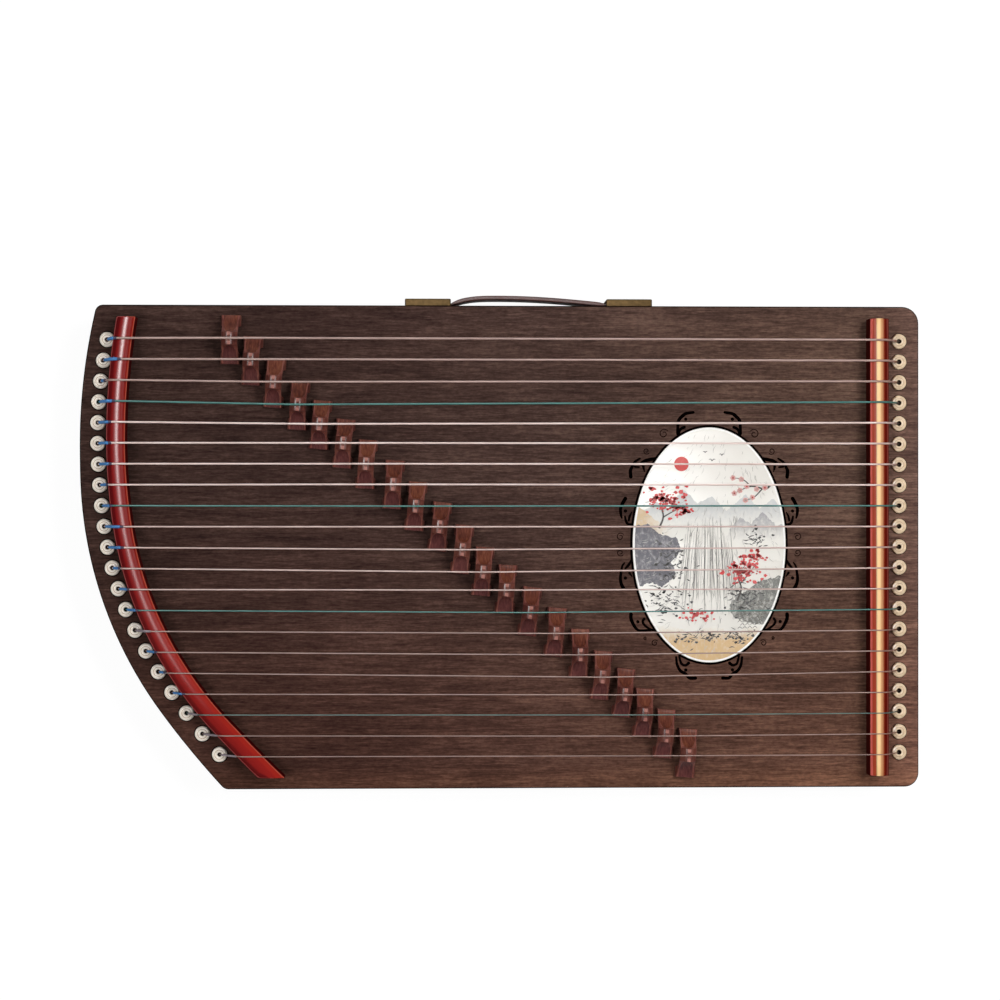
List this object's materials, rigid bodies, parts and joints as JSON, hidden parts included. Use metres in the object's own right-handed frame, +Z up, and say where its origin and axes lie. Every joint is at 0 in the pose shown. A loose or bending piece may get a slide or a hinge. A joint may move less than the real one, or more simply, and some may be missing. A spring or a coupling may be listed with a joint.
{
  "type": "guzheng practice board",
  "caption": "Hollow zither board for finger practice: strings over a curved and a straight fixed bridge, sliding bridges between, tuning pins below, carrying handle.",
  "frame": {"origin": "middle of the underside, which rests on a table", "axes": "+X along the strings from the curved tail to the straight head, +Y from the player to the far side with the handle, +Z up"},
  "size_m": [0.6, 0.3534, 0.0671],
  "materials": {
    "dark_wood": "satin varnish",
    "inner_wood": "bare",
    "red_lacquer": "gloss lacquer",
    "bridge_wood": "polished",
    "inlay": "polished",
    "eyelet": "satin",
    "string": "plain or coloured winding",
    "pin": "satin",
    "print": "printed, satin",
    "strap": "smooth",
    "cap": "dark bronze, satin"
  },
  "bodies": {
    "board": {"soundboard": "dark_wood", "back_panel": "dark_wood", "far_rail": "dark_wood", "near_rail": "dark_wood", "tail_block": "dark_wood", "head_block": "dark_wood", "tail_brace": "inner_wood", "head_brace": "inner_wood", "rear_bridge": "red_lacquer", "front_bridge": "red_lacquer", "front_inlay": "inlay", "tail_eyelets": "eyelet", "head_eyelets": "eyelet", "string_set": "string", "picture_oval": "print", "handle_cap_tail": "cap", "handle_cap_head": "cap"},
    "handle": {"handle_strap": "strap"},
    "movable_bridge_01": {"bridge_01": "bridge_wood"},
    "movable_bridge_02": {"bridge_02": "bridge_wood"},
    "movable_bridge_03": {"bridge_03": "bridge_wood"},
    "movable_bridge_04": {"bridge_04": "bridge_wood"},
    "movable_bridge_05": {"bridge_05": "bridge_wood"},
    "movable_bridge_06": {"bridge_06": "bridge_wood"},
    "movable_bridge_07": {"bridge_07": "bridge_wood"},
    "movable_bridge_08": {"bridge_08": "bridge_wood"},
    "movable_bridge_09": {"bridge_09": "bridge_wood"},
    "movable_bridge_10": {"bridge_10": "bridge_wood"},
    "movable_bridge_11": {"bridge_11": "bridge_wood"},
    "movable_bridge_12": {"bridge_12": "bridge_wood"},
    "movable_bridge_13": {"bridge_13": "bridge_wood"},
    "movable_bridge_14": {"bridge_14": "bridge_wood"},
    "movable_bridge_15": {"bridge_15": "bridge_wood"},
    "movable_bridge_16": {"bridge_16": "bridge_wood"},
    "movable_bridge_17": {"bridge_17": "bridge_wood"},
    "movable_bridge_18": {"bridge_18": "bridge_wood"},
    "movable_bridge_19": {"bridge_19": "bridge_wood"},
    "movable_bridge_20": {"bridge_20": "bridge_wood"},
    "movable_bridge_21": {"bridge_21": "bridge_wood"},
    "pin_01": {"tuning_pin_01": "pin"},
    "pin_02": {"tuning_pin_02": "pin"},
    "pin_03": {"tuning_pin_03": "pin"},
    "pin_04": {"tuning_pin_04": "pin"},
    "pin_05": {"tuning_pin_05": "pin"},
    "pin_06": {"tuning_pin_06": "pin"},
    "pin_07": {"tuning_pin_07": "pin"},
    "pin_08": {"tuning_pin_08": "pin"},
    "pin_09": {"tuning_pin_09": "pin"},
    "pin_10": {"tuning_pin_10": "pin"},
    "pin_11": {"tuning_pin_11": "pin"},
    "pin_12": {"tuning_pin_12": "pin"},
    "pin_13": {"tuning_pin_13": "pin"},
    "pin_14": {"tuning_pin_14": "pin"},
    "pin_15": {"tuning_pin_15": "pin"},
    "pin_16": {"tuning_pin_16": "pin"},
    "pin_17": {"tuning_pin_17": "pin"},
    "pin_18": {"tuning_pin_18": "pin"},
    "pin_19": {"tuning_pin_19": "pin"},
    "pin_20": {"tuning_pin_20": "pin"},
    "pin_21": {"tuning_pin_21": "pin"}
  },
  "joints": [
    {"name": "handle_lift", "type": "slide", "parent": "board", "child": "handle", "axis": [0, 1, 0], "range_m": [0, 0.0011]},
    {"name": "bridge_01_slide", "type": "slide", "parent": "board", "child": "movable_bridge_01", "axis": [1, 0, 0], "range_m": [-0.0025, 0.0025]},
    {"name": "bridge_02_slide", "type": "slide", "parent": "board", "child": "movable_bridge_02", "axis": [1, 0, 0], "range_m": [-0.0025, 0.0025]},
    {"name": "bridge_03_slide", "type": "slide", "parent": "board", "child": "movable_bridge_03", "axis": [1, 0, 0], "range_m": [-0.0025, 0.0025]},
    {"name": "bridge_04_slide", "type": "slide", "parent": "board", "child": "movable_bridge_04", "axis": [1, 0, 0], "range_m": [-0.0025, 0.0025]},
    {"name": "bridge_05_slide", "type": "slide", "parent": "board", "child": "movable_bridge_05", "axis": [1, 0, 0], "range_m": [-0.0025, 0.0025]},
    {"name": "bridge_06_slide", "type": "slide", "parent": "board", "child": "movable_bridge_06", "axis": [1, 0, 0], "range_m": [-0.0025, 0.0025]},
    {"name": "bridge_07_slide", "type": "slide", "parent": "board", "child": "movable_bridge_07", "axis": [1, 0, 0], "range_m": [-0.0025, 0.0025]},
    {"name": "bridge_08_slide", "type": "slide", "parent": "board", "child": "movable_bridge_08", "axis": [1, 0, 0], "range_m": [-0.0025, 0.0025]},
    {"name": "bridge_09_slide", "type": "slide", "parent": "board", "child": "movable_bridge_09", "axis": [1, 0, 0], "range_m": [-0.0025, 0.0025]},
    {"name": "bridge_10_slide", "type": "slide", "parent": "board", "child": "movable_bridge_10", "axis": [1, 0, 0], "range_m": [-0.0025, 0.0025]},
    {"name": "bridge_11_slide", "type": "slide", "parent": "board", "child": "movable_bridge_11", "axis": [1, 0, 0], "range_m": [-0.0025, 0.0025]},
    {"name": "bridge_12_slide", "type": "slide", "parent": "board", "child": "movable_bridge_12", "axis": [1, 0, 0], "range_m": [-0.0025, 0.0025]},
    {"name": "bridge_13_slide", "type": "slide", "parent": "board", "child": "movable_bridge_13", "axis": [1, 0, 0], "range_m": [-0.0025, 0.0025]},
    {"name": "bridge_14_slide", "type": "slide", "parent": "board", "child": "movable_bridge_14", "axis": [1, 0, 0], "range_m": [-0.0025, 0.0025]},
    {"name": "bridge_15_slide", "type": "slide", "parent": "board", "child": "movable_bridge_15", "axis": [1, 0, 0], "range_m": [-0.0025, 0.0025]},
    {"name": "bridge_16_slide", "type": "slide", "parent": "board", "child": "movable_bridge_16", "axis": [1, 0, 0], "range_m": [-0.0025, 0.0025]},
    {"name": "bridge_17_slide", "type": "slide", "parent": "board", "child": "movable_bridge_17", "axis": [1, 0, 0], "range_m": [-0.0025, 0.0025]},
    {"name": "bridge_18_slide", "type": "slide", "parent": "board", "child": "movable_bridge_18", "axis": [1, 0, 0], "range_m": [-0.0025, 0.0025]},
    {"name": "bridge_19_slide", "type": "slide", "parent": "board", "child": "movable_bridge_19", "axis": [1, 0, 0], "range_m": [-0.0025, 0.0025]},
    {"name": "bridge_20_slide", "type": "slide", "parent": "board", "child": "movable_bridge_20", "axis": [1, 0, 0], "range_m": [-0.0025, 0.0025]},
    {"name": "bridge_21_slide", "type": "slide", "parent": "board", "child": "movable_bridge_21", "axis": [1, 0, 0], "range_m": [-0.0025, 0.0025]},
    {"name": "pin_01_turn", "type": "hinge", "parent": "board", "child": "pin_01", "pos_m": [0.264, -0.1475, 0.02], "axis": [0, 0, 1], "continuous": true},
    {"name": "pin_02_turn", "type": "hinge", "parent": "board", "child": "pin_02", "pos_m": [0.264, -0.13275, 0.02], "axis": [0, 0, 1], "continuous": true},
    {"name": "pin_03_turn", "type": "hinge", "parent": "board", "child": "pin_03", "pos_m": [0.264, -0.118, 0.02], "axis": [0, 0, 1], "continuous": true},
    {"name": "pin_04_turn", "type": "hinge", "parent": "board", "child": "pin_04", "pos_m": [0.264, -0.10325, 0.02], "axis": [0, 0, 1], "continuous": true},
    {"name": "pin_05_turn", "type": "hinge", "parent": "board", "child": "pin_05", "pos_m": [0.264, -0.0885, 0.02], "axis": [0, 0, 1], "continuous": true},
    {"name": "pin_06_turn", "type": "hinge", "parent": "board", "child": "pin_06", "pos_m": [0.264, -0.07375, 0.02], "axis": [0, 0, 1], "continuous": true},
    {"name": "pin_07_turn", "type": "hinge", "parent": "board", "child": "pin_07", "pos_m": [0.264, -0.059, 0.02], "axis": [0, 0, 1], "continuous": true},
    {"name": "pin_08_turn", "type": "hinge", "parent": "board", "child": "pin_08", "pos_m": [0.264, -0.04425, 0.02], "axis": [0, 0, 1], "continuous": true},
    {"name": "pin_09_turn", "type": "hinge", "parent": "board", "child": "pin_09", "pos_m": [0.264, -0.0295, 0.02], "axis": [0, 0, 1], "continuous": true},
    {"name": "pin_10_turn", "type": "hinge", "parent": "board", "child": "pin_10", "pos_m": [0.264, -0.01475, 0.02], "axis": [0, 0, 1], "continuous": true},
    {"name": "pin_11_turn", "type": "hinge", "parent": "board", "child": "pin_11", "pos_m": [0.264, 0, 0.02], "axis": [0, 0, 1], "continuous": true},
    {"name": "pin_12_turn", "type": "hinge", "parent": "board", "child": "pin_12", "pos_m": [0.264, 0.01475, 0.02], "axis": [0, 0, 1], "continuous": true},
    {"name": "pin_13_turn", "type": "hinge", "parent": "board", "child": "pin_13", "pos_m": [0.264, 0.0295, 0.02], "axis": [0, 0, 1], "continuous": true},
    {"name": "pin_14_turn", "type": "hinge", "parent": "board", "child": "pin_14", "pos_m": [0.264, 0.04425, 0.02], "axis": [0, 0, 1], "continuous": true},
    {"name": "pin_15_turn", "type": "hinge", "parent": "board", "child": "pin_15", "pos_m": [0.264, 0.059, 0.02], "axis": [0, 0, 1], "continuous": true},
    {"name": "pin_16_turn", "type": "hinge", "parent": "board", "child": "pin_16", "pos_m": [0.264, 0.07375, 0.02], "axis": [0, 0, 1], "continuous": true},
    {"name": "pin_17_turn", "type": "hinge", "parent": "board", "child": "pin_17", "pos_m": [0.264, 0.0885, 0.02], "axis": [0, 0, 1], "continuous": true},
    {"name": "pin_18_turn", "type": "hinge", "parent": "board", "child": "pin_18", "pos_m": [0.264, 0.10325, 0.02], "axis": [0, 0, 1], "continuous": true},
    {"name": "pin_19_turn", "type": "hinge", "parent": "board", "child": "pin_19", "pos_m": [0.264, 0.118, 0.02], "axis": [0, 0, 1], "continuous": true},
    {"name": "pin_20_turn", "type": "hinge", "parent": "board", "child": "pin_20", "pos_m": [0.264, 0.13275, 0.02], "axis": [0, 0, 1], "continuous": true},
    {"name": "pin_21_turn", "type": "hinge", "parent": "board", "child": "pin_21", "pos_m": [0.264, 0.1475, 0.02], "axis": [0, 0, 1], "continuous": true}
  ]
}
